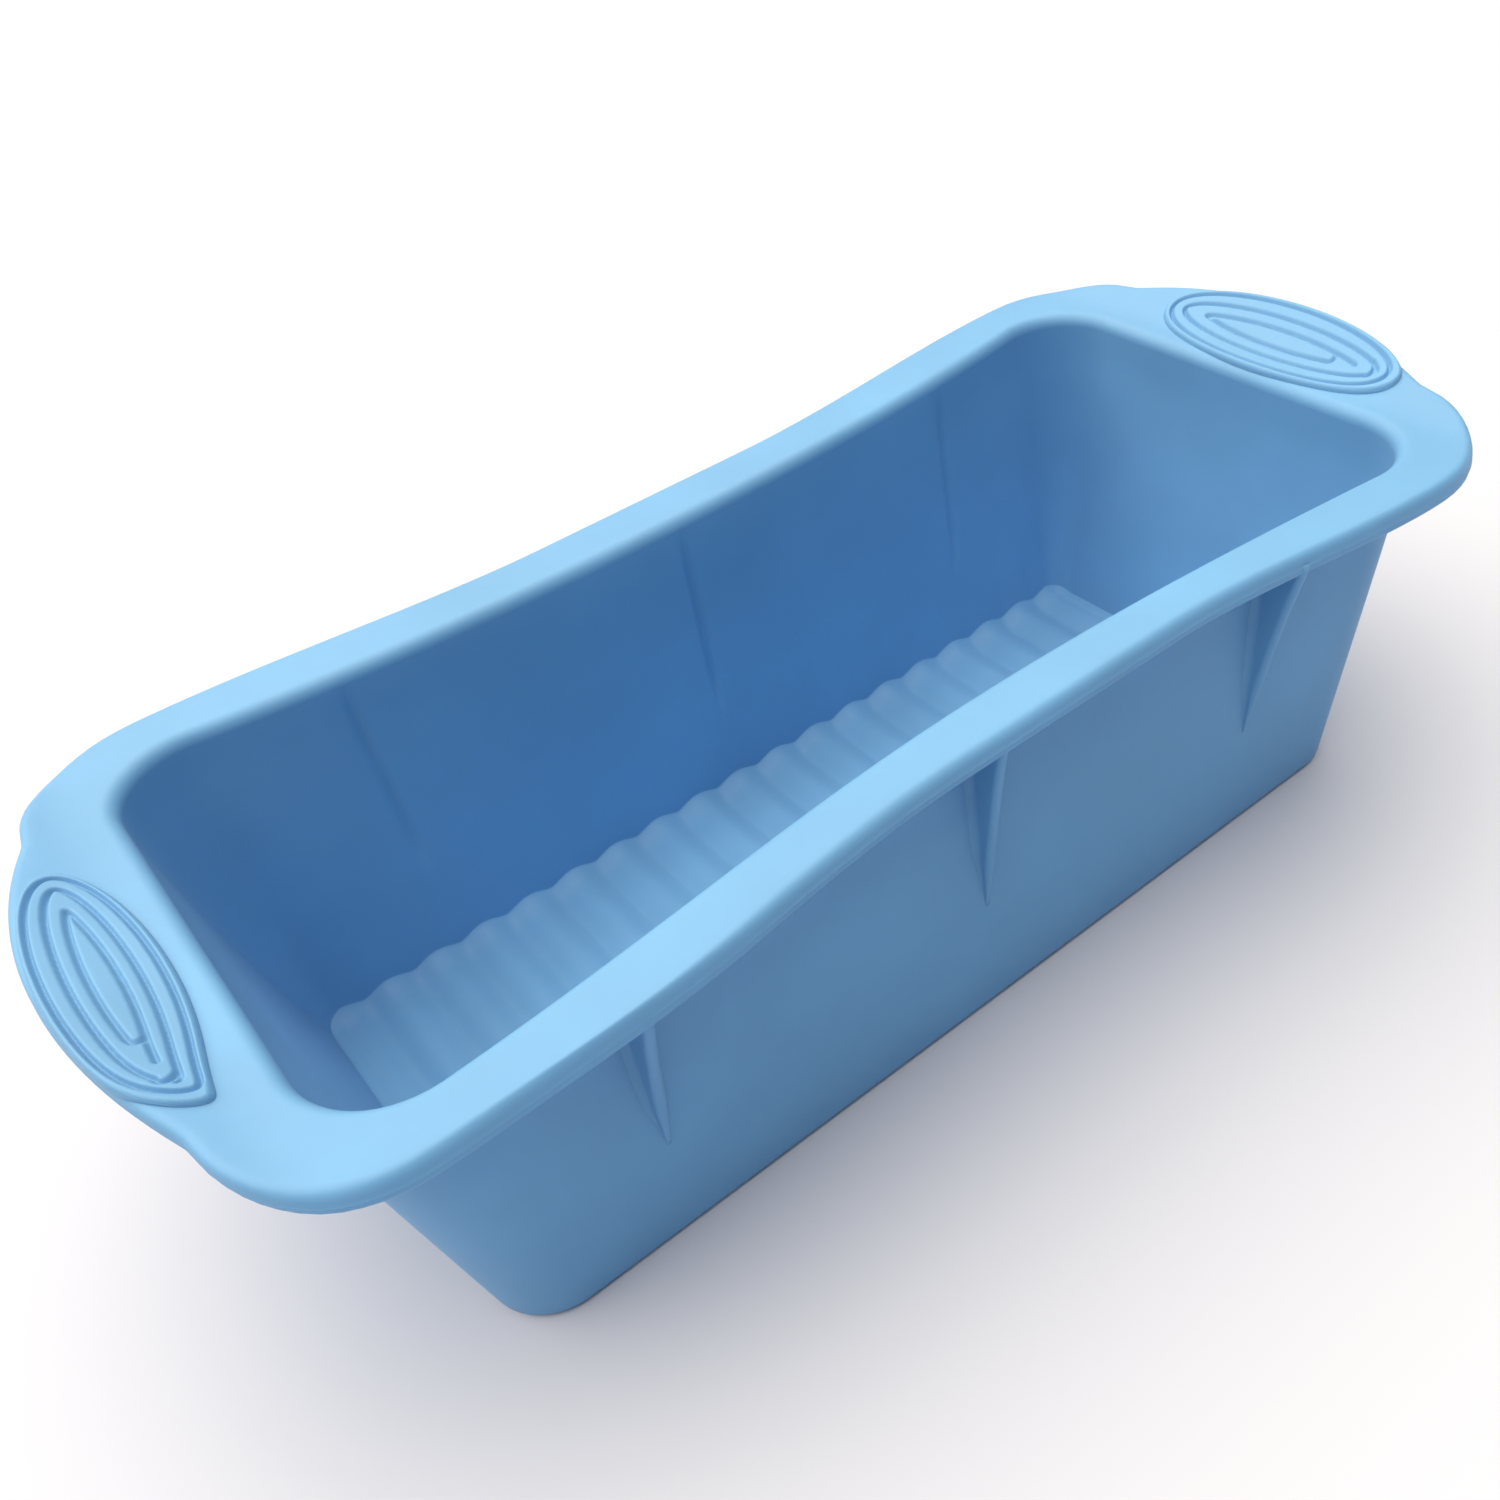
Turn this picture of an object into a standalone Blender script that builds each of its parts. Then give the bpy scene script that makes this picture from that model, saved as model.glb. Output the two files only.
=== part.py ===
"""A silicone loaf mould for soap, modelled as the named regions of its one moulding.

The mould is a waisted tub with a fluted floor and a wide flange round its mouth. The flange turns up into a
grip at each end, and three ribs brace it on each long side. Where one region runs into the next, a fine gap
keeps their solids apart. X runs along the mould, +Z is up, and the origin is the middle of the flat underside.
The tub and the flange look the same after half a turn about Z, so the front and left ones are turned copies of
the back and right ones. Both grip pads sit a little towards the front.
"""

import math
from collections import namedtuple

import bmesh
import bpy

MM = 0.001
GAP = 0.3 * MM

# Tub: the inner faces of its walls at the floor and just under the flange.
Section = namedtuple("Section", "half_length waist flare corner")
TUB_FOOT = Section(half_length=104.6 * MM, waist=44 * MM, flare=0, corner=10 * MM)
TUB_HEAD = Section(half_length=114.4 * MM, waist=42 * MM, flare=10.4 * MM, corner=14 * MM)
WALL = 2.4 * MM
WALL_LOW = 3.7 * MM  # clear of the floor also at the outer face, which a leaning wall carries lower
WALL_TOP = 66.6 * MM

# Floor: a flat plate with crosswise flutes on top.
FLOOR = 3 * MM
FOOT_ROUND = 2.4 * MM
FLUTE_PITCH = 11.2 * MM
FLUTE_COUNT = 19
FLUTE_VALLEY = 3.2 * MM
FLUTE_CREST = 4.8 * MM
FLUTE_STEPS = 8

# Flange: a plate that starts in a round shoulder at the mouth and ends in a thicker rounded edge.
FLANGE_TOP = 74 * MM
SHOULDER = 6 * MM
PLATE = 3 * MM
EDGE = 4.8 * MM
EDGE_WIDTH = 3.6 * MM
EDGE_ROUND = 2 * MM
FLANGE_WAIST = 54.9 * MM
LOBE_HALF_WIDTH = 62 * MM
LOBE_CENTRE_X = 105.4 * MM
LOBE_RADIUS = 23.2 * MM
FLARE_START = 25 * MM
FRONT_WAIST_X = 13 * MM

# Grips: the ends of the flange, which turn up, each with a raised oval pad.
GRIP_TIP = 136.6 * MM
BEND_START = 117 * MM
BEND_RUN = 8 * MM
GRIP_SLOPE = math.tan(math.radians(21))
LEFT_PAD = {"centre_x": 127.3 * MM, "half_width": 8.5 * MM}
RIGHT_PAD = {"centre_x": 125.8 * MM, "half_width": 10.2 * MM}
PAD_CENTRE_Y = -4 * MM
PAD_HALF_LENGTH = 30.5 * MM
PAD_THICKNESS = 0.9 * MM

# Ribs under the flange, on the outside of each long wall.
BACK_RIBS = {"left": -72 * MM, "middle": 0, "right": 72 * MM}
FRONT_RIBS = {"left": -72.5 * MM, "middle": 0, "right": 69.5 * MM}
RIB_THICKNESS = 2.6 * MM
RIB_DEPTH = 9.6 * MM
RIB_FOOT = 28 * MM

SIDE_STEPS = 20
CORNER_STEPS = 10
GRIP_STEPS = 10
PLATE_STEPS = 4
PAD_STEPS = 16
ROUND_STEPS = 4
FACET = math.radians(35)  # faces that meet at less than this are shaded as one curve

BLUE = (0.28, 0.56, 0.78)
PAD_BLUE = (0.33, 0.62, 0.83)


def clear_scene():
    for obj in list(bpy.data.objects):
        bpy.data.objects.remove(obj, do_unlink=True)


def new_collection(name):
    made = bpy.data.collections.new(name)
    bpy.context.scene.collection.children.link(made)
    return made


def silicone(name, colour):
    """Matt moulded silicone in its own colour."""
    made = bpy.data.materials.new(name)
    made.use_nodes = True
    shader = made.node_tree.nodes["Principled BSDF"]
    shader.inputs["Base Color"].default_value = (*colour, 1)
    shader.inputs["Roughness"].default_value = 0.55
    shader.inputs["Metallic"].default_value = 0
    return made


def add_object(name, mesh, collection, colour=BLUE):
    obj = bpy.data.objects.new(name, mesh)
    collection.objects.link(obj)
    obj.data.materials.append(silicone(name + "_silicone", colour))
    return obj


def shade_round(mesh):
    mesh.shade_smooth()
    mesh.set_sharp_from_angle(angle=FACET)


def turned_copy(obj, name):
    """The same region on the opposite side of the mould."""
    made = bpy.data.objects.new(name, obj.data)
    obj.users_collection[0].objects.link(made)
    made.rotation_euler.z = math.pi
    for modifier in obj.modifiers:
        if modifier.type == "SOLIDIFY":
            add_thickness(made, modifier.thickness)
    return made


def add_thickness(obj, thickness):
    solidify = obj.modifiers.new("thickness", "SOLIDIFY")
    solidify.thickness = thickness
    solidify.offset = 1
    solidify.use_even_offset = True


def sheet(name, rows):
    """An open surface through rows of points, facing out of the mould."""
    mesh = bpy.data.meshes.new(name)
    bm = bmesh.new()
    grid = [[bm.verts.new(point) for point in row] for row in rows]
    for low, high in zip(grid, grid[1:]):
        for i in range(len(low) - 1):
            bm.faces.new((low[i + 1], low[i], high[i], high[i + 1]))
    bm.to_mesh(mesh)
    bm.free()
    shade_round(mesh)
    return mesh


def swept_solid(name, profiles):
    """A closed solid through a row of closed profiles, capped at both ends."""
    mesh = bpy.data.meshes.new(name)
    bm = bmesh.new()
    rings = [[bm.verts.new(point) for point in profile] for profile in profiles]
    count = len(rings[0])
    for here, there in zip(rings, rings[1:]):
        for i in range(count):
            j = (i + 1) % count
            bm.faces.new((here[i], here[j], there[j], there[i]))
    bm.faces.new(reversed(rings[0]))
    bm.faces.new(rings[-1])
    bmesh.ops.recalc_face_normals(bm, faces=bm.faces)
    bm.to_mesh(mesh)
    bm.free()
    shade_round(mesh)
    return mesh


def prism(name, outline, low, high, plane="XY"):
    """A flat outline, extruded: along Z between two heights, or along the axis that its plane leaves out."""
    curve = bpy.data.curves.new(name, "CURVE")
    curve.dimensions = "2D"
    curve.fill_mode = "BOTH"
    curve.extrude = (high - low) / 2
    spline = curve.splines.new("POLY")
    spline.points.add(len(outline) - 1)
    for point, (a, b) in zip(spline.points, outline):
        point.co = (a, b, 0, 1)
    spline.use_cyclic_u = True
    guide = bpy.data.objects.new(name + "_outline", curve)
    bpy.context.scene.collection.objects.link(guide)
    graph = bpy.context.evaluated_depsgraph_get()
    mesh = bpy.data.meshes.new_from_object(guide.evaluated_get(graph))
    bpy.data.objects.remove(guide)
    middle = (low + high) / 2
    bm = bmesh.new()
    bm.from_mesh(mesh)
    bmesh.ops.remove_doubles(bm, verts=bm.verts, dist=0.001 * MM)
    for vert in bm.verts:
        a, b, c = vert.co
        vert.co = {"XY": (a, b, c + middle), "XZ": (a, c + middle, b), "YZ": (c + middle, a, b)}[plane]
    bmesh.ops.recalc_face_normals(bm, faces=bm.faces)
    bm.to_mesh(mesh)
    bm.free()
    return mesh


def arc(centre, radius, start, end, steps):
    """Points on an arc between two angles in degrees, both ends included."""
    angles = [math.radians(start + (end - start) * i / steps) for i in range(steps + 1)]
    return [(centre[0] + radius * math.cos(a), centre[1] + radius * math.sin(a)) for a in angles]


def between(start, end, steps):
    """Evenly spaced values between two others, both ends left out."""
    return [start + (end - start) * i / steps for i in range(1, steps)]


def section_at(z):
    """The inner section of the tub at a height, between its foot and its head."""
    share = (z - FLOOR) / (WALL_TOP - FLOOR)
    return Section(*(foot + (head - foot) * share for foot, head in zip(TUB_FOOT, TUB_HEAD)))


def side_y(section, x):
    """Half the tub's width at x: a shallow arc, narrowest in the middle."""
    return section.waist + section.flare * (x / section.half_length) ** 2


def corner_of(section):
    """Where a long side turns into its corner: the x of that point, the side's angle there, the corner's centre."""
    lean = 0
    for _ in range(4):
        x = section.half_length - section.corner * (1 + math.sin(lean))
        lean = math.atan(2 * section.flare * x / section.half_length**2)
    centre = (section.half_length - section.corner, side_y(section, x) - section.corner * math.cos(lean))
    return x, math.degrees(lean), centre


def tub_side(section, trim=0, steps=SIDE_STEPS):
    """The tub's back side from left to right."""
    reach = corner_of(section)[0] - trim
    xs = [reach * (2 * i / steps - 1) for i in range(steps + 1)]
    return [(x, side_y(section, x)) for x in xs]


def tub_end(section, trim=0, end_steps=1):
    """The tub's right end, from the back side round both corners to the front side."""
    _, lean, centre = corner_of(section)
    start = 90 + lean - math.degrees(trim / section.corner)
    back = arc(centre, section.corner, start, 0, CORNER_STEPS)
    front = [(x, -y) for x, y in reversed(back)]
    ys = between(centre[1], -centre[1], end_steps)
    return back + [(section.half_length, y) for y in ys] + front


def wall_rows(run):
    """The rows of a wall's inner face, from the floor to the flange."""
    heights = [WALL_LOW, WALL_TOP - GAP / 2]
    return [[(x, y, z) for x, y in run(section_at(z), trim=GAP / 2)] for z in heights]


def smooth_step(t):
    t = min(max(t, 0), 1)
    return t * t * (3 - 2 * t)


def flange_side(reach, waist_x=0):
    """The flange's long edge: straight across the waist, then flaring into a lobe at each end."""
    points = []
    for i in range(SIDE_STEPS + 1):
        x = reach * (2 * i / SIDE_STEPS - 1)
        from_waist = abs(x - waist_x * (1 - (x / LOBE_CENTRE_X) ** 2))
        flare = smooth_step((from_waist - FLARE_START) / (LOBE_CENTRE_X - FLARE_START))
        points.append((x, FLANGE_WAIST + (LOBE_HALF_WIDTH - FLANGE_WAIST) * flare))
    return points


def flange_end(trim):
    """The flange's right edge: a lobe, the grip's flatter arc between two notches, and the other lobe."""
    lobe_y = LOBE_HALF_WIDTH - LOBE_RADIUS
    start = 90 - math.degrees(trim / LOBE_RADIUS)
    back = arc((LOBE_CENTRE_X, lobe_y), LOBE_RADIUS, start, 0, CORNER_STEPS)
    front = [(x, -y) for x, y in reversed(back)]
    bulge = GRIP_TIP - LOBE_CENTRE_X - LOBE_RADIUS
    grip_radius = (lobe_y**2 + bulge**2) / (2 * bulge)
    half_angle = math.degrees(math.asin(lobe_y / grip_radius))
    grip = arc((GRIP_TIP - grip_radius, 0), grip_radius, half_angle, -half_angle, GRIP_STEPS)
    return back + grip[1:-1] + front


def grip_rise(x):
    """How far the flange has turned up at x."""
    past = abs(x) - BEND_START
    if past <= 0:
        return 0
    if past < BEND_RUN:
        return GRIP_SLOPE * past**2 / (2 * BEND_RUN)
    return GRIP_SLOPE * (past - BEND_RUN / 2)


def flange_profile(length):
    """The flange's section from the mouth outwards, as (distance, height) points round its outline."""
    under = FLANGE_TOP - PLATE
    bottom = FLANGE_TOP - EDGE
    low_round = EDGE_ROUND / 2
    shoulder = arc((SHOULDER, FLANGE_TOP - SHOULDER), SHOULDER, 180, 90, ROUND_STEPS)
    top_edge = arc((length - EDGE_ROUND, FLANGE_TOP - EDGE_ROUND), EDGE_ROUND, 90, 0, ROUND_STEPS)
    low_edge = arc((length - low_round, bottom + low_round), low_round, 0, -90, ROUND_STEPS // 2)
    bead = [(length - EDGE_WIDTH, bottom), (length - EDGE_WIDTH, under)]
    top = [(d, FLANGE_TOP) for d in between(SHOULDER, length - EDGE_ROUND, PLATE_STEPS)]
    underside = [(d, under) for d in between(length - EDGE_WIDTH, 2 * WALL, PLATE_STEPS)]
    root = arc((2 * WALL, under - WALL), WALL, 90, 180, ROUND_STEPS // 2)
    foot = WALL_TOP + GAP / 2
    return [(0, foot)] + shoulder + top + top_edge + low_edge + bead + underside + root + [(WALL, foot)]


def flange_profiles(mouth, edge):
    """The flange's section at each pair of points, one at the mouth and one on the outer edge."""
    placed = []
    for (x0, y0), (x1, y1) in zip(mouth, edge):
        length = math.hypot(x1 - x0, y1 - y0)
        along = ((x1 - x0) / length, (y1 - y0) / length)
        spots = [(x0 + along[0] * d, y0 + along[1] * d, z) for d, z in flange_profile(length)]
        placed.append([(x, y, z + grip_rise(x)) for x, y, z in spots])
    return placed


def build_walls(parts):
    back = add_object("back_wall", sheet("back_wall", wall_rows(tub_side)), parts)
    add_thickness(back, WALL)
    turned_copy(back, "front_wall")
    right = add_object("right_end_wall", sheet("right_end_wall", wall_rows(tub_end)), parts)
    add_thickness(right, WALL)
    turned_copy(right, "left_end_wall")


def build_flange(parts):
    head = section_at(WALL_TOP)
    mouth = tub_side(head, trim=GAP / 2)
    back = flange_profiles(mouth, flange_side(LOBE_CENTRE_X - GAP / 2))
    add_object("back_flange", swept_solid("back_flange", back), parts)
    front = flange_profiles(mouth, flange_side(LOBE_CENTRE_X - GAP / 2, waist_x=-FRONT_WAIST_X))
    turned = [[(-x, -y, z) for x, y, z in profile] for profile in front]
    add_object("front_flange", swept_solid("front_flange", turned), parts)
    ends = flange_profiles(tub_end(head, trim=GAP / 2, end_steps=GRIP_STEPS), flange_end(trim=GAP / 2))
    right = add_object("right_flange", swept_solid("right_flange", ends), parts)
    turned_copy(right, "left_flange")


def build_grip_pad(name, side, pad, parts):
    """An oval skin that lies on the turned-up end of the flange, on the side of +X or of -X."""
    rows = []
    for i in range(1, PAD_STEPS):
        angle = math.pi * i / PAD_STEPS
        x = side * (pad["centre_x"] - pad["half_width"] * math.cos(angle))
        half = PAD_HALF_LENGTH * math.sin(angle)
        z = FLANGE_TOP + grip_rise(x) + GAP
        rows.append([(x, PAD_CENTRE_Y - half, z), (x, PAD_CENTRE_Y + half, z)])
    skin = add_object(name, sheet(name, rows[::side]), parts, PAD_BLUE)
    add_thickness(skin, PAD_THICKNESS)


def floor_outline(inset):
    """The tub's outline at the floor, moved in from its outer face."""
    spread = WALL - inset
    grown = Section(TUB_FOOT.half_length + spread, TUB_FOOT.waist + spread, 0, TUB_FOOT.corner + spread)
    end = tub_end(grown)
    return end + [(-x, -y) for x, y in end]


def flute_outline():
    """The floor's long section: a row of round crests that meet in narrow valleys."""
    half = FLUTE_PITCH * FLUTE_COUNT / 2
    points = [(half, FLOOR / 2), (-half, FLOOR / 2)]
    for i in range(FLUTE_COUNT * FLUTE_STEPS + 1):
        share = (i % FLUTE_STEPS) / FLUTE_STEPS
        z = FLUTE_VALLEY + (FLUTE_CREST - FLUTE_VALLEY) * math.sin(math.pi * share) ** 0.8
        points.append((-half + FLUTE_PITCH * i / FLUTE_STEPS, z))
    return points


def build_floor(parts, helpers):
    """A plate with a rounded foot, joined to the flutes that fill it from wall to wall."""
    mesh = prism("fluted_floor", floor_outline(inset=0), 0, FLOOR)
    bm = bmesh.new()
    bm.from_mesh(mesh)
    foot = [e for e in bm.edges if all(v.co.z < GAP for v in e.verts) and len(e.link_faces) == 2]
    rim = [e for e in foot if e.calc_face_angle(0) > FACET]
    bmesh.ops.bevel(bm, geom=rim, offset=FOOT_ROUND, segments=ROUND_STEPS, profile=0.5, affect="EDGES")
    bm.to_mesh(mesh)
    bm.free()
    shade_round(mesh)
    floor = add_object("fluted_floor", mesh, parts)

    half_width = TUB_FOOT.waist + WALL
    flutes = add_object("flutes", prism("flutes", flute_outline(), -half_width, half_width, "XZ"), helpers)
    well = prism("well", floor_outline(inset=WALL + GAP), 0, 2 * FLUTE_CREST)
    fit = flutes.modifiers.new("inside_the_walls", "BOOLEAN")
    fit.operation = "INTERSECT"
    fit.solver = "EXACT"
    fit.object = add_object("well", well, helpers)
    join = floor.modifiers.new("flutes_on_plate", "BOOLEAN")
    join.operation = "UNION"
    join.solver = "EXACT"
    join.object = flutes


def rib_back(x, z):
    """Where a rib's straight back stands off the outer face of its wall, which slants across the rib's thickness."""
    section = section_at(z)
    reach = abs(x) + RIB_THICKNESS / 2
    slant = 2 * section.flare * reach / section.half_length**2
    return side_y(section, reach) + WALL * math.hypot(1, slant) + GAP


def build_ribs(parts):
    """A rib is a thin blade: upright against the wall, deepest under the flange, tapering to nothing below."""
    top = FLANGE_TOP - PLATE - WALL - GAP
    for row, side, stations in (("back", 1, BACK_RIBS), ("front", -1, FRONT_RIBS)):
        for place, x in stations.items():
            wall = [(rib_back(x, z), z) for z in (RIB_FOOT, top)]
            outline = wall + [(wall[-1][0] + RIB_DEPTH, top), (wall[0][0] + GAP, RIB_FOOT)]
            outline = [(side * y, z) for y, z in outline]
            name = f"{row}_rib_{place}"
            add_object(name, prism(name, outline, x - RIB_THICKNESS / 2, x + RIB_THICKNESS / 2, "YZ"), parts)


def main():
    clear_scene()
    parts = new_collection("silicone_soap_mould")
    helpers = new_collection("helpers")
    build_floor(parts, helpers)
    build_walls(parts)
    build_flange(parts)
    build_grip_pad("left_grip_pad", -1, LEFT_PAD, parts)
    build_grip_pad("right_grip_pad", 1, RIGHT_PAD, parts)
    build_ribs(parts)
    for helper in helpers.objects:
        helper.hide_render = True
        helper.display_type = "WIRE"


main()
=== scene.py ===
import math

import bpy
import numpy as np
from mathutils import Matrix, Vector


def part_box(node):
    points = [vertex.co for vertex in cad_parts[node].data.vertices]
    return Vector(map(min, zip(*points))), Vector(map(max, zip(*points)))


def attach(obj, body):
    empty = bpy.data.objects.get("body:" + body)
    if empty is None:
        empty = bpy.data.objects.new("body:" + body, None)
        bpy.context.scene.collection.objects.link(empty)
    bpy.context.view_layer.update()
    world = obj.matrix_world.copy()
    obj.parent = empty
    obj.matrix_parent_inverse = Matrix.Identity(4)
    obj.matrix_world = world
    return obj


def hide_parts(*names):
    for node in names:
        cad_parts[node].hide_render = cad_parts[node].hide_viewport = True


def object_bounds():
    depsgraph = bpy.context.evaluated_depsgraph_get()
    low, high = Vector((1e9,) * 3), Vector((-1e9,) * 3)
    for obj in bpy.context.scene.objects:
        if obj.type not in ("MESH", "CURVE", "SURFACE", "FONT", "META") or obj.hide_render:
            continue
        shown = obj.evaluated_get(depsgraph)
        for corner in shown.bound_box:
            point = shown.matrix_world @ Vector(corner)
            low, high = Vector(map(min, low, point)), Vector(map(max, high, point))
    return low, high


# The looks of a silicone loaf mould for soap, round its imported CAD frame.
#
# The real mould is one moulding, so one continuous skin stands for the floor, the walls and the flange. The
# six ribs and the two grooved grip pads are pieces of their own. X runs along the mould and +Z is up.

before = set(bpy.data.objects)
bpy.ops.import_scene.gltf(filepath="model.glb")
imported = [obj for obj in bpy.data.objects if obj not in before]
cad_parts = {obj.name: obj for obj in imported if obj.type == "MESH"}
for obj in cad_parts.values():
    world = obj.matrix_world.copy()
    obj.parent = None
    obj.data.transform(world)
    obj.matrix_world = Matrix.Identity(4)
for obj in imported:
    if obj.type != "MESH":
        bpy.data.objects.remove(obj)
cad_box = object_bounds()

MM = 0.001

# Tub: its inner section at the floor and just under the flange, and its outer section at the foot. The CAD
# has the same section under the flange, and a plainer one with rounder corners at the floor.
FOOT = {"half_length": 104.2 * MM, "waist": 42.6 * MM, "flare": 0.0, "corner": 4.5 * MM}
HEAD = {"half_length": 114.4 * MM, "waist": 42 * MM, "flare": 10.4 * MM, "corner": 14 * MM}
OUTER_FOOT = {"half_length": 107 * MM, "waist": 46.4 * MM, "flare": 0.0, "corner": 12.4 * MM}
WALL = 2.4 * MM
WALL_TOP = 66.6 * MM
FOOT_ROUND = 2.4 * MM
END_BOW = 0.45  # how strongly the end walls bow outwards half way up

# Floor: crosswise flutes at the CAD's pitch that climb a little where they meet the walls.
FLUTE_PITCH = 11.2 * MM
FLUTE_VALLEY = 2.4 * MM
FLUTE_CREST = 4.0 * MM
CREST_BREADTH = 0.7  # below 1, the crests are broader than the valleys
CLIMB_RUN = 6 * MM
CLIMB_RADIUS = 8.7 * MM
END_CLIMB_RUN = 3 * MM
END_CLIMB = 1.2 * MM

# Flange, as in the CAD but for its soft shoulder, its rounded edge and the blended notches.
FLANGE_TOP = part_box("back_flange")[1].z
SHOULDER = 2.7 * MM
PLATE = 3 * MM
EDGE = 4.8 * MM
EDGE_WIDTH = 3.6 * MM
EDGE_ROUND = 2 * MM
EDGE_FOOT_ROUND = 1 * MM
EDGE_INNER_CHAMFER = 0.5 * MM
PLATE_STEP = 0.3 * MM
ROOT_REACH = 3 * WALL
FLANGE_WAIST = 54.9 * MM
LOBE_HALF_WIDTH = cad_box[1].y
LOBE_CENTRE_X = 105.4 * MM
LOBE_RADIUS = 23.2 * MM
FLARE_START = 25 * MM
GRIP_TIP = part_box("right_flange")[1].x
BEND_START = 117 * MM
BEND_RUN = 8 * MM
GRIP_SLOPE = math.tan(math.radians(21))
NOTCH_BLEND = 1.6 * MM

# The parting line: a low bead round the edge, as (height from its middle in mm, share of its depth).
PARTING = 0.15 * MM
PARTING_SHARE = 0.62  # how far down the edge it lies
PARTING_BEAD = ((0.35, 0), (0.15, 0.5), (0.05, 1), (-0.05, 1), (-0.15, 0.5), (-0.35, 0))

# How the soft mould is bent: its front edge's waist sits off the middle, its mouth leans forwards and its
# front side is bowed out on the left. At the flange's edge the bow is narrower and a little further out.
FRONT_WAIST_X = 16 * MM
MOUTH_LEAN = 0.9 * MM
FRONT_BOW = 2.2 * MM
FRONT_BOW_X = -70 * MM
FRONT_BOW_REACH = 46 * MM
EDGE_BOW_SHIFT = 0.17
EDGE_BOW_NARROWING = 0.35
LEAN_FADE = 5 * MM

# Sink marks inside the long walls, opposite the ribs.
SINK_DEPTH = 0.85 * MM
SINK_WIDTH = 0.95 * MM
SINK_FOOT = 28 * MM
SINK_FADE = 2 * MM

# Ribs.
RIB_DEPTH = 9.9 * MM
RIB_NOSE = 1.15 * MM
RIB_FILLET = 1.5 * MM
RIB_BITE = 0.5 * MM  # how far a rib reaches into the wall
RIB_FOOT = 1 * MM  # how far a rib's tip runs on below the CAD's
RIB_HEAD = 0.6 * MM  # how far a rib reaches into the flange

# Grip pads. The low end of each leans to the right, by a share of the pad's half width.
PAD_RISE = 1.15 * MM
PAD_SINK = 0.4 * MM
PAD_SKIRT = 0.3 * MM
PAD_ROUND = 0.9 * MM
PAD_LEAN = {"left": 0.4, "right": 0.05}
PAD_CROWDING = 0.4 * math.pi  # how closely the mesh crowds towards a pad's long edges

# Grooves in the pads, from outside in: each loop's share of the pad's width, its low and high ends, and how
# pointed it is. The left side of the middle and the inner loop starts above their low end and turns to the
# right side there: where it starts, the height at which the turn meets the right side, and the turn's depth.
GROOVE_DEPTH = 1.0 * MM
GROOVE_WIDTH = 0.4 * MM
GROOVE_FALLOFF = 2.4
OUTER_LOOP = {"share": 0.83, "low": -27.8 * MM, "high": 28.4 * MM, "power": 0.5}
MIDDLE_LOOP = {"share": 0.51, "low": -25.3 * MM, "high": 25.2 * MM, "power": 0.55}
INNER_LOOP = {"share": 0.22, "low": -20.3 * MM, "high": 18.9 * MM, "power": 0.8}
MIDDLE_TURN = {"start": -0.93, "meets": -22.4 * MM, "drop": 1.6 * MM}
INNER_TURN = {"start": -0.68, "drop": 1.4 * MM}

# Mesh density.
SIDE_STEPS = 340
CORNER_STEPS = 14
ROW_STEPS = 44
WALL_STEPS = 14
OUTER_WALL_STEPS = 8
RIB_LEVELS = 31
PAD_ACROSS = 100
PAD_ALONG = 280
GROOVE_STEPS = 160
TURN_STEPS = 24

CAMERA = {"azimuth": -33.762, "elevation": 44.454, "roll": -8.554, "distance": 305.3 * MM}
CAMERA_OFFSET = (8.9 * MM, 5.1 * MM)
FOCAL_SHARE = 0.9333  # focal length over the frame's width
CAMERA_SHIFT = (-0.0957, 0.0725)

BLUE = (0.13, 0.335, 0.61)


def smooth_step(t):
    t = np.clip(t, 0, 1)
    return t * t * (3 - 2 * t)


def crowded(steps):
    """Stations from -1 to 1 that crowd towards both ends."""
    return np.sin(np.linspace(-math.pi / 2, math.pi / 2, steps + 1))


# ---------------------------------------------------------------- outlines


def bowed(share):
    """The end walls lean out early and stand nearly upright below the flange."""
    return share + END_BOW * share * (1 - share)


def section_between(low, high, share):
    """The tub's section at a share of the height between two others."""
    section = {key: low[key] + (high[key] - low[key]) * share for key in low}
    section["half_length"] = low["half_length"] + (high["half_length"] - low["half_length"]) * bowed(share)
    return section


def grown(section, by):
    """The section moved outwards all round."""
    return {
        "half_length": section["half_length"] + by,
        "waist": section["waist"] + by,
        "flare": section["flare"],
        "corner": section["corner"] + by,
    }


def corner_of(section):
    """The x where a long side ends, the side's lean there in radians, and the corner's centre."""
    lean = 0.0
    for _ in range(6):
        x = section["half_length"] - section["corner"] * (1 + math.sin(lean))
        lean = math.atan(2 * section["flare"] * x / section["half_length"] ** 2)
    y = section["waist"] + section["flare"] * (x / section["half_length"]) ** 2
    return x, lean, (section["half_length"] - section["corner"], y - section["corner"] * math.cos(lean))


def rib_stations():
    """Where the back ribs stand along X."""
    boxes = [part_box(f"back_rib_{place}") for place in ("left", "middle", "right")]
    return [(low.x + high.x) / 2 for low, high in boxes]


def column_shares():
    """Where the columns stand along a long side, from -1 to 1: close together at the sink marks."""
    spots = np.linspace(-1, 1, 4001)
    density = np.ones(len(spots))
    for station in rib_stations():
        density += 4 * np.exp(-(((spots - station / LOBE_CENTRE_X) / 0.018) ** 2))
    reached = np.concatenate([[0], np.cumsum((density[1:] + density[:-1]) / 2)])
    return np.interp(np.linspace(0, reached[-1], SIDE_STEPS + 1), reached, spots)


COLUMNS = column_shares()


def ring_of(back, front, end_x, end_y):
    """A closed ring from its back columns, its front columns (left to right) and its ends' half height."""
    rows = crowded(ROW_STEPS)
    right = np.column_stack([end_x(rows), end_y * rows])[1:-1]
    return np.vstack([back, right[::-1], front[::-1], right * [-1, 1]])


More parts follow.
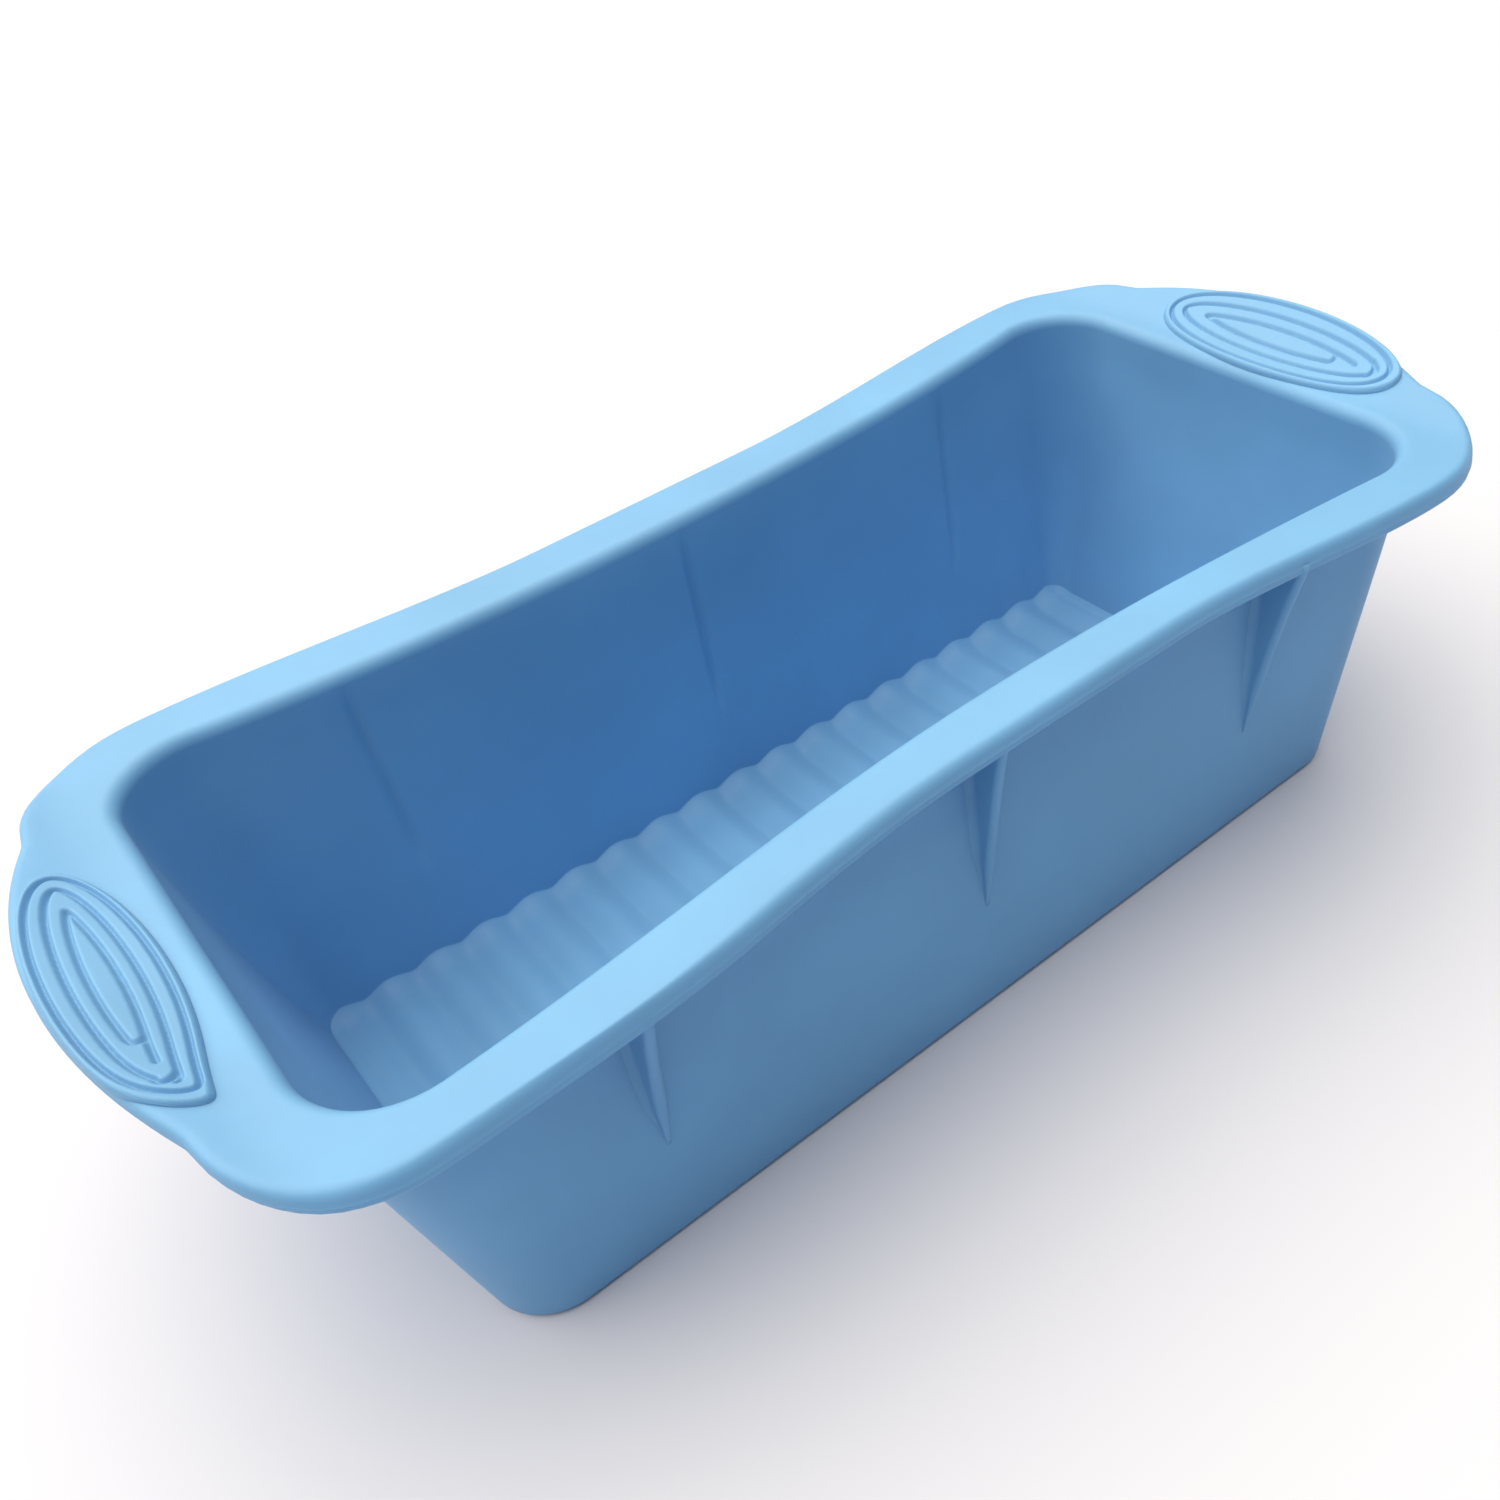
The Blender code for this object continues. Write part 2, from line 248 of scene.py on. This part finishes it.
def round_corner(first_angle, radius, centre):
    """The points of a corner after its first, from an angle to 0."""
    angles = np.linspace(first_angle, 0, CORNER_STEPS + 1)[1:]
    return np.column_stack([np.cos(angles), np.sin(angles)]) * radius + centre


def tub_ring(section):
    """The outline of one section of the tub."""
    x_end, lean, centre = corner_of(section)
    xs = x_end * COLUMNS
    side = np.column_stack([xs, section["waist"] + section["flare"] * (xs / section["half_length"]) ** 2])
    corner = round_corner(math.pi / 2 + lean, section["corner"], centre)
    back = np.vstack([(corner * [-1, 1])[::-1], side, corner])
    return ring_of(back, back * [1, -1], lambda rows: np.full(len(rows), section["half_length"]), centre[1])


def edge_side(waist_x, lobe):
    """One long side of the flange's edge, with a lobe at each end and its waist at waist_x."""
    xs = LOBE_CENTRE_X * COLUMNS
    from_waist = np.abs(xs - waist_x * (1 - COLUMNS**2))
    flare = smooth_step((from_waist - FLARE_START) / (LOBE_CENTRE_X - FLARE_START))
    side = np.column_stack([xs, FLANGE_WAIST + (LOBE_HALF_WIDTH - FLANGE_WAIST) * flare])
    return np.vstack([(lobe * [-1, 1])[::-1], side, lobe])


def edge_ring():
    """The flange's outer edge, with the notches between its lobes and its grips blended."""
    lobe_y = LOBE_HALF_WIDTH - LOBE_RADIUS
    lobe = round_corner(math.pi / 2, LOBE_RADIUS, (LOBE_CENTRE_X, lobe_y))
    bulge = GRIP_TIP - LOBE_CENTRE_X - LOBE_RADIUS
    radius = (lobe_y**2 + bulge**2) / (2 * bulge)

    def grip_edge(rows):
        return GRIP_TIP - radius + np.sqrt(radius**2 - (lobe_y * rows) ** 2)

    front = edge_side(FRONT_WAIST_X, lobe) * [1, -1]
    return blended(ring_of(edge_side(0, lobe), front, grip_edge, lobe_y), NOTCH_BLEND)


def blended(ring, reach):
    """The ring with its corners rounded: each point becomes a weighted mean of the outline near it."""
    closed = np.vstack([ring, ring[:1]])
    along = np.concatenate([[0], np.cumsum(np.hypot(*np.diff(closed, axis=0).T))])
    offsets = np.linspace(-2.5, 2.5, 21)
    weights = np.exp(-(offsets**2) / 2)
    spots = (along[:-1, None] + offsets * reach) % along[-1]  # the ring closes on itself
    means = [np.interp(spots, along, closed[:, axis]) @ weights / weights.sum() for axis in (0, 1)]
    return np.column_stack(means)


# ---------------------------------------------------------------- surfaces


def grip_rise(x):
    """How far the flange has turned up at x."""
    past = np.maximum(np.abs(x) - BEND_START, 0)
    in_bend = GRIP_SLOPE * past**2 / (2 * BEND_RUN)
    beyond = GRIP_SLOPE * (past - BEND_RUN / 2)
    return np.where(past < BEND_RUN, in_bend, beyond)


def floor_height(points):
    """The floor's top: broad crests and narrow valleys, climbing towards the walls."""
    wave = (0.5 + 0.5 * np.cos(2 * math.pi * points[:, 0] / FLUTE_PITCH)) ** CREST_BREADTH
    past = np.maximum(np.abs(points[:, 1]) - (FOOT["waist"] - CLIMB_RUN), 0)
    climb = CLIMB_RADIUS - np.sqrt(CLIMB_RADIUS**2 - np.minimum(past, CLIMB_RUN) ** 2)
    past_end = np.abs(points[:, 0]) - (FOOT["half_length"] - END_CLIMB_RUN)
    end = smooth_step(past_end / END_CLIMB_RUN) * END_CLIMB
    return FLUTE_VALLEY + (FLUTE_CREST - FLUTE_VALLEY) * wave + climb + end


def sink_marks(points, heights, stations):
    """How far the inner face of a long wall is pushed out by the sink marks opposite the ribs."""
    on_side = np.abs(points[:, 1]) > HEAD["waist"] - 3 * MM
    from_foot = smooth_step((heights - SINK_FOOT + SINK_FADE / 2) / SINK_FADE)
    from_top = smooth_step((WALL_TOP + SINK_FADE - heights) / (2 * SINK_FADE))
    depth = np.zeros(len(points))
    for station in stations:
        depth += np.exp(-(((points[:, 0] - station) / SINK_WIDTH) ** 2))
    return SINK_DEPTH * depth * (from_foot * from_top) * on_side


def flange_rows(mouth, edge):
    """Rings of the flange from the mouth, over the top and round the edge, to the root under the plate."""
    span = edge - mouth
    length = np.hypot(*span.T)
    along = span / length[:, None]
    face = length - PARTING
    rows = []

    def add(distance, height):
        distance = np.broadcast_to(distance, length.shape)
        spot = mouth + along * distance[:, None]
        rows.append(np.column_stack([spot, height + grip_rise(spot[:, 0])]))

    for angle in np.linspace(math.pi, math.pi / 2, 10):
        add(SHOULDER * (1 + math.cos(angle)), FLANGE_TOP - SHOULDER * (1 - math.sin(angle)))
    for share in np.linspace(0, 1, 9)[1:-1]:
        add(SHOULDER + (face - EDGE_ROUND - SHOULDER) * share, FLANGE_TOP)
    for angle in np.linspace(math.pi / 2, 0, 8):
        add(face - EDGE_ROUND * (1 - math.cos(angle)), FLANGE_TOP - EDGE_ROUND * (1 - math.sin(angle)))
    for rise, out in PARTING_BEAD:
        add(face + PARTING * out, FLANGE_TOP - EDGE * PARTING_SHARE + rise * MM)
    edge_foot = FLANGE_TOP - EDGE
    for angle in np.linspace(0, -math.pi / 2, 5):
        rise = EDGE_FOOT_ROUND * (1 + math.sin(angle))
        add(face - EDGE_FOOT_ROUND * (1 - math.cos(angle)), edge_foot + rise)
    inside = face - EDGE_WIDTH
    underside = FLANGE_TOP - PLATE
    add(inside + EDGE_INNER_CHAMFER, edge_foot)
    add(inside, edge_foot + EDGE_INNER_CHAMFER)
    add(inside, underside - PLATE_STEP)
    for share in np.linspace(0, 1, 6):
        add(inside - PLATE_STEP + (ROOT_REACH - inside) * share, underside)
    root = ROOT_REACH - PLATE_STEP - WALL
    for angle in np.linspace(math.pi / 2, math.pi, 6)[1:]:
        add(ROOT_REACH - PLATE_STEP + root * math.cos(angle), underside - root * (1 - math.sin(angle)))
    return rows


def forward_lean(points):
    """How far each point stands forward: the soft mouth leans to the front, and its front side is bowed."""
    x, y, z = points.T
    waist = HEAD["waist"]
    outward = smooth_step((np.abs(y) - waist - SHOULDER) / (FLANGE_WAIST - waist - SHOULDER))
    from_bow = x - FRONT_BOW_X * (1 + EDGE_BOW_SHIFT * outward)
    bow = np.exp(-((from_bow / (FRONT_BOW_REACH * (1 - EDGE_BOW_NARROWING * outward))) ** 2))
    front = smooth_step((-y - waist / 2) / (waist / 2 - 2 * MM))
    ends = 1 - np.minimum(np.abs(x / HEAD["half_length"]), 1) ** 10
    upper = np.clip(z / WALL_TOP, 0, 1) ** 1.5
    room = smooth_step((LOBE_HALF_WIDTH - np.abs(y)) / LEAN_FADE)
    return (MOUTH_LEAN * (1 - outward) + FRONT_BOW * bow * front) * (ends * upper) * room


def inner_wall_rows(rim_height):
    """The rings of the inner wall, from just above the floor's rim to the mouth."""
    stations = rib_stations()
    rows = []
    for share in np.concatenate([[0.004], np.linspace(0, 1, WALL_STEPS + 1)[1:]]):
        ring = tub_ring(section_between(FOOT, HEAD, share))
        height = rim_height + (WALL_TOP - rim_height) * share
        push = sink_marks(ring, height, stations) * np.sign(ring[:, 1])
        rows.append(np.column_stack([ring[:, 0], ring[:, 1] + push, height]))
    return rows


def outer_wall_rows(top):
    """The rings of the outer wall, from under the last ring of the flange to the rounded foot."""
    foot = tub_ring(OUTER_FOOT)
    rows = []
    for share in np.linspace(0, 1, OUTER_WALL_STEPS + 1)[1:]:
        height = top[:, 2] + (FOOT_ROUND - top[:, 2]) * share
        rows.append(np.column_stack([foot + (top[:, :2] - foot) * (1 - share), height]))
    for angle in np.linspace(0, math.pi / 2, 6)[1:]:
        ring = tub_ring(grown(OUTER_FOOT, FOOT_ROUND * (math.cos(angle) - 1)))
        rows.append(np.column_stack([ring, np.full(len(ring), FOOT_ROUND * (1 - math.sin(angle)))]))
    return rows


def body_rows():
    """Every ring of the skin in order: floor's rim, inner wall, flange, outer wall, foot."""
    rim = tub_ring(FOOT)
    rim_height = floor_height(rim)
    rows = [np.column_stack([rim, rim_height])]
    rows += inner_wall_rows(rim_height)
    rows += flange_rows(tub_ring(HEAD), edge_ring())
    return rows + outer_wall_rows(rows[-1])


def ring_faces(rings, count):
    """The faces between rings of the same number of points."""
    faces = []
    for k in range(rings - 1):
        for i in range(count):
            j = (i + 1) % count
            faces.append((k * count + i, k * count + j, (k + 1) * count + j, (k + 1) * count + i))
    return faces


def cap(ring, height_of, first, own):
    """Fills a ring with a grid of its columns and rows. Returns the inner points and the faces.

    first is the index of the ring's first point, and own that of the first inner point.
    """
    columns = SIDE_STEPS + 2 * CORNER_STEPS
    rows = crowded(ROW_STEPS)
    back = ring[: columns + 1]
    inner = np.array([(x, y * w) for x, y in back[1:-1] for w in rows[1:-1]])
    points = np.column_stack([inner, height_of(inner)])

    def index(i, j):
        if j == ROW_STEPS:
            return first + i
        if i == columns:
            return first + columns + ROW_STEPS - j
        if j == 0:
            return first + columns + ROW_STEPS + (columns - i)
        if i == 0:
            return first + 2 * columns + ROW_STEPS + j
        return own + (i - 1) * (ROW_STEPS - 1) + (j - 1)

    faces = [
        (index(i, j), index(i + 1, j), index(i + 1, j + 1), index(i, j + 1))
        for i in range(columns)
        for j in range(ROW_STEPS)
    ]
    return points, faces


def new_piece(name, points, faces, material, nodes):
    """A smooth visible piece that rides on the part's body and replaces CAD nodes."""
    mesh = bpy.data.meshes.new(name)
    mesh.from_pydata([tuple(p) for p in points], [], faces)
    mesh.shade_smooth()
    piece = bpy.data.objects.new(name, mesh)
    bpy.context.scene.collection.objects.link(piece)
    mesh.materials.append(material)
    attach(piece, "root")
    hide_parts(*nodes)
    return piece


def build_body(material):
    """The floor, the walls and the flange as one closed skin."""
    rows = body_rows()
    count = len(rows[0])
    points = np.vstack(rows)
    faces = ring_faces(len(rows), count)
    floor, floor_faces = cap(rows[0][:, :2], floor_height, 0, len(points))
    points = np.vstack([points, floor])
    last = (len(rows) - 1) * count
    base, base_faces = cap(rows[-1][:, :2], lambda p: np.zeros(len(p)), last, len(points))
    points = np.vstack([points, base])
    points[:, 1] -= forward_lean(points)
    faces += floor_faces + [face[::-1] for face in base_faces]
    walls = ["front_wall", "back_wall", "left_end_wall", "right_end_wall"]
    flanges = ["front_flange", "back_flange", "left_flange", "right_flange"]
    return new_piece("mould_body", points, faces, material, ["fluted_floor"] + walls + flanges)


# ---------------------------------------------------------------- ribs


def outer_face(x, z):
    """The outer face of the long wall, as a half width, and its slope along X."""
    share = (z - FOOT_ROUND) / (WALL_TOP - FOOT_ROUND)
    section = section_between(OUTER_FOOT, grown(HEAD, WALL), share)
    lean = 2 * section["flare"] * x / section["half_length"] ** 2
    return section["waist"] + section["flare"] * (x / section["half_length"]) ** 2, lean


def rib_section(depth):
    """Half of a rib's cross-section, as (across, out) points: root, concave fillet, flank and round nose."""
    fillet = min(RIB_FILLET, depth * 0.4)
    nose = min(RIB_NOSE, depth * 0.5)
    points = [(RIB_NOSE + fillet, -RIB_BITE)]
    for angle in np.linspace(0, math.pi / 2, 7):
        points.append((RIB_NOSE + fillet * (1 - math.sin(angle)), fillet * (1 - math.cos(angle))))
    for angle in np.linspace(0, math.pi / 2, 7):
        points.append((RIB_NOSE * math.cos(angle), depth - nose * (1 - math.sin(angle))))
    return points


def rib_depth(level):
    """How far a rib stands out at a level from 0 to 1: a nearly straight taper, level just below its head."""
    return min(RIB_DEPTH, RIB_DEPTH * 1.04 * (0.88 * level + 0.12 * level**3)) + 0.02 * MM


def build_rib(node, material):
    """A rib outside a long wall: thin and shallow at its tip, and deepest under the flange."""
    low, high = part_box(node)
    station = (low.x + high.x) / 2
    side = 1 if low.y > 0 else -1
    foot = low.z - RIB_FOOT
    top = FLANGE_TOP - PLATE + RIB_HEAD
    points = []
    for level in np.linspace(0, 1, RIB_LEVELS):
        z = foot + (top - foot) * level
        half = rib_section(rib_depth(level))
        for across, out in half + [(-a, b) for a, b in half[-2::-1]]:
            x = station + across * min(1, 0.3 + 2.5 * level)  # narrower towards the tip
            face, lean = outer_face(x, min(z, WALL_TOP))
            points.append((x, side * (face + out * math.hypot(1, lean)), z))
    count = len(points) // RIB_LEVELS
    faces = ring_faces(RIB_LEVELS, count)
    faces.append(tuple(range(count))[::-1])
    faces.append(tuple(range(len(points) - count, len(points))))
    if side < 0:
        faces = [face[::-1] for face in faces]
    points = np.array(points)
    points[:, 1] -= forward_lean(points)
    return new_piece(node + "_blade", points, faces, material, [node])


# ---------------------------------------------------------------- grip pads


def loop_side(width, low, high, lean, shares, power=0.5):
    """One side of a leaf-shaped loop, whose low end leans to the right, as points at the given shares."""
    half = width * np.maximum(1 - shares**2, 0) ** power
    leaning = lean * abs(width) * np.maximum(-shares, 0) ** 8
    return np.column_stack([half + leaning, (low + high) / 2 + (high - low) / 2 * shares])


def groove_side(loop, half_width, side, lean, start=-1.0):
    """One side of a groove's loop, from the start's share of its height up to its high end."""
    shares = np.sin(np.linspace(math.asin(start), math.asin(1.0), GROOVE_STEPS))
    width = half_width * loop["share"] * side
    return loop_side(width, loop["low"], loop["high"], lean, shares, loop["power"])


def turn_between(left, right, drop):
    """A round turn that joins the low ends of two lines."""
    angles = np.linspace(math.pi, 2 * math.pi, TURN_STEPS)
    middle, reach = (left + right) / 2, (right - left) / 2
    arc = np.column_stack([np.cos(angles), np.zeros(len(angles))]) * reach[0] + middle
    arc[:, 1] += np.sin(angles) * drop + np.cos(angles) * reach[1]
    return arc


def point_at(line, height):
    """The line's point nearest to a height."""
    return line[np.argmin(np.abs(line[:, 1] - height))]


def groove_lines(half_width, lean):
    """The grooves in a pad: a closed loop, then two loops whose right side runs on below as a short tail."""
    lines = [groove_side(OUTER_LOOP, half_width, side, lean) for side in (-1, 1)]
    for loop, turn in ((MIDDLE_LOOP, MIDDLE_TURN), (INNER_LOOP, INNER_TURN)):
        left = groove_side(loop, half_width, -1, lean, turn["start"])
        right = groove_side(loop, half_width, 1, lean)
        meets = point_at(right, turn.get("meets", left[0][1]))
        lines += [left, right, turn_between(left[0], meets, turn["drop"])]
    return lines


def gap_to(lines, points):
    """Each point's distance to the nearest of the lines' points, worked out a batch at a time."""
    spots = np.vstack(lines)
    batch = 2000
    gaps = []
    for first in range(0, len(points), batch):
        offsets = points[first : first + batch, None] - spots
        gaps.append(np.hypot(*offsets.T).T.min(axis=1))
    return np.concatenate(gaps)


def pad_relief(half_width, half_length, lean):
    """A pad's grid of points, flat and about its centre, and the height of each above the pad's seat."""
    shares = crowded(PAD_ALONG)[1:-1]
    sides = [loop_side(width, -half_length, half_length, lean, shares) for width in (-half_width, half_width)]
    left, right = sides
    across = np.sin(np.linspace(-PAD_CROWDING, PAD_CROWDING, PAD_ACROSS + 1)) / math.sin(PAD_CROWDING)
    across = ((1 + across) / 2)[:, None]
    flat = (left[:, None] + (right - left)[:, None] * across).reshape(-1, 2)
    low_end = left[:1] + (right - left)[:1] * across
    rim = np.clip(gap_to([left, right, low_end], flat) / PAD_ROUND, 0, 1)
    edge = np.sqrt(1 - (1 - rim) ** 2)
    from_groove = gap_to(groove_lines(half_width, lean), flat) / GROOVE_WIDTH
    groove = GROOVE_DEPTH * np.exp(-(from_groove**GROOVE_FALLOFF))
    return flat, (PAD_SINK + PAD_RISE - groove) * edge


def pad_faces(rows, width):
    """The faces of a pad: its top's grid, then its underside, its two long skirts and its two ends."""
    faces = []
    for r in range(rows - 1):
        for c in range(width - 1):
            here = r * width + c
            faces.append((here, here + 1, here + width + 1, here + width))
    under = rows * width
    for r in range(rows - 1):
        a, b = under + 2 * r, under + 2 * r + 2
        faces.append((a, a + 2, b + 1, a + 1))
        faces.append((r * width, (r + 1) * width, b, a))
        faces.append(((r + 1) * width - 1, a + 1, b + 1, (r + 2) * width - 1))
    last = (rows - 1) * width
    faces.append(tuple([under, under + 1] + list(range(width - 1, -1, -1))))
    faces.append(tuple([under + 2 * rows - 1, under + 2 * rows - 2] + list(range(last, last + width))))
    return faces


def build_pad(node, material):
    """A grooved pad that follows the slope of its grip."""
    low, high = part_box(node)
    centre = (low + high) / 2
    lean = PAD_LEAN["left" if centre.x < 0 else "right"]
    flat, relief = pad_relief((high.x - low.x) / 2, (high.y - low.y) / 2, lean)
    seat = FLANGE_TOP + grip_rise(centre.x + flat[:, 0]) - PAD_SINK
    upper = np.column_stack([centre.x + flat[:, 0], centre.y + flat[:, 1], seat + relief])
    width = PAD_ACROSS + 1
    rows = len(upper) // width
    ends = [index for r in range(rows) for index in (r * width, r * width + width - 1)]
    lower = upper[ends] - [0, 0, PAD_SKIRT]
    return new_piece(node + "_grooved", np.vstack([upper, lower]), pad_faces(rows, width), material, [node])


# ---------------------------------------------------------------- materials


def noise(nodes, links, place, scale, detail):
    """A noise texture in the object's own coordinates."""
    made = nodes.new("ShaderNodeTexNoise")
    made.inputs["Scale"].default_value = scale
    made.inputs["Detail"].default_value = detail
    links.new(place.outputs["Object"], made.inputs["Vector"])
    return made


def bump(nodes, links, texture, strength, distance):
    """A bump node that is fed by a texture."""
    made = nodes.new("ShaderNodeBump")
    made.inputs["Strength"].default_value = strength
    made.inputs["Distance"].default_value = distance
    links.new(texture.outputs["Fac"], made.inputs["Height"])
    return made


def silicone(name, colour, seed):
    """Matt moulded silicone: a fine mould grain, faint cloudy colour and a soft glow under the surface."""
    made = bpy.data.materials.new(name)
    made.use_nodes = True
    nodes, links = made.node_tree.nodes, made.node_tree.links
    shader = nodes["Principled BSDF"]
    place = nodes.new("ShaderNodeTexCoord")

    cloud = noise(nodes, links, place, 28, 4)
    cloud.noise_dimensions = "4D"
    cloud.inputs["W"].default_value = seed
    tint = nodes.new("ShaderNodeValToRGB")
    for stop, position, shade in zip(tint.color_ramp.elements, (0.3, 0.7), (0.93, 1.05)):
        stop.position = position
        stop.color = (*[c * shade for c in colour], 1)
    links.new(cloud.outputs["Fac"], tint.inputs["Fac"])
    links.new(tint.outputs["Color"], shader.inputs["Base Color"])

    haze = nodes.new("ShaderNodeMapRange")
    haze.inputs["To Min"].default_value = 0.4
    haze.inputs["To Max"].default_value = 0.56
    links.new(cloud.outputs["Fac"], haze.inputs["Value"])
    links.new(haze.outputs["Result"], shader.inputs["Roughness"])

    fine = bump(nodes, links, noise(nodes, links, place, 1400, 3), 0.12, 0.05 * MM)
    broad = bump(nodes, links, noise(nodes, links, place, 90, 2), 0.2, 0.12 * MM)
    links.new(fine.outputs["Normal"], broad.inputs["Normal"])
    links.new(broad.outputs["Normal"], shader.inputs["Normal"])

    shader.inputs["Metallic"].default_value = 0
    shader.inputs["IOR"].default_value = 1.41
    shader.inputs["Specular IOR Level"].default_value = 0.3
    shader.inputs["Subsurface Weight"].default_value = 0.12
    shader.inputs["Subsurface Radius"].default_value = (0.3, 0.6, 1.0)
    shader.inputs["Subsurface Scale"].default_value = 2 * MM
    shader.inputs["Sheen Weight"].default_value = 0.03
    shader.inputs["Sheen Roughness"].default_value = 0.4
    return made


def floor_material():
    made = bpy.data.materials.new("pale_floor")
    made.use_nodes = True
    shader = made.node_tree.nodes["Principled BSDF"]
    shader.inputs["Base Color"].default_value = (0.46, 0.53, 0.65, 1)
    shader.inputs["Roughness"].default_value = 0.9
    return made


# ---------------------------------------------------------------- studio


def build_floor():
    bpy.ops.mesh.primitive_plane_add(size=12, location=(0, 0, 0))
    floor = bpy.context.object
    floor.name = "studio_floor"
    floor.data.materials.append(floor_material())


def add_light(name, light, toward):
    """Puts a light in the scene, shining along a direction."""
    lamp = bpy.data.objects.new(name, light)
    bpy.context.scene.collection.objects.link(lamp)
    lamp.rotation_euler = Vector(toward).to_track_quat("-Z", "Y").to_euler()
    return lamp


def add_area_light(name, location, target, size, watts):
    light = bpy.data.lights.new(name, "AREA")
    light.shape = "RECTANGLE"
    light.size, light.size_y = size
    light.energy = watts
    lamp = add_light(name, light, Vector(target) - Vector(location))
    lamp.location = location


def add_sun(name, toward, angle, strength, colour):
    light = bpy.data.lights.new(name, "SUN")
    light.angle = math.radians(angle)
    light.energy = strength
    light.color = colour
    add_light(name, light, toward)


def build_lights():
    add_sun("overhead_key", (0.15, -0.3, -1), 95, 5.6, (1.24, 1.0, 0.77))
    add_area_light("front_fill", (0.5, -1.1, 0.5), (0, 0, 0.04), (0.8, 0.8), 0.45)
    world = bpy.data.worlds.new("studio_world")
    world.use_nodes = True
    backdrop = world.node_tree.nodes["Background"]
    backdrop.inputs["Color"].default_value = (0.7, 0.88, 1, 1)
    backdrop.inputs["Strength"].default_value = 0.25
    bpy.context.scene.world = world


def build_camera():
    """The camera looks along its view's axis, rolls a little and is shifted to frame the whole mould."""
    azimuth, elevation = math.radians(CAMERA["azimuth"]), math.radians(CAMERA["elevation"])
    roll = math.radians(CAMERA["roll"])
    flat = math.cos(elevation)
    back = Vector((math.sin(azimuth) * flat, -math.cos(azimuth) * flat, math.sin(elevation)))
    level = (-back).cross(Vector((0, 0, 1))).normalized()
    upright = level.cross(-back)
    right = level * math.cos(roll) + upright * math.sin(roll)
    up = upright * math.cos(roll) - level * math.sin(roll)
    lens_data = bpy.data.cameras.new("studio_camera")
    lens_data.sensor_width = 36
    lens_data.lens = FOCAL_SHARE * lens_data.sensor_width
    lens_data.shift_x, lens_data.shift_y = CAMERA_SHIFT
    lens_data.clip_start = 0.01
    camera = bpy.data.objects.new("studio_camera", lens_data)
    bpy.context.scene.collection.objects.link(camera)
    place = back * CAMERA["distance"] + right * CAMERA_OFFSET[0] + up * CAMERA_OFFSET[1]
    turn = Matrix((right, up, back)).transposed().to_4x4()
    camera.matrix_world = Matrix.Translation(place) @ turn
    bpy.context.scene.camera = camera


def main():
    bpy.context.scene.view_settings.view_transform = "Standard"
    build_camera()
    build_floor()
    build_lights()
    body_material = silicone("body_silicone", BLUE, 0.0)
    pad_material = silicone("pad_silicone", BLUE, 3.0)
    build_body(body_material)
    for side in ("front", "back"):
        for place in ("left", "middle", "right"):
            build_rib(f"{side}_rib_{place}", body_material)
    for side in ("left", "right"):
        build_pad(f"{side}_grip_pad", pad_material)


main()
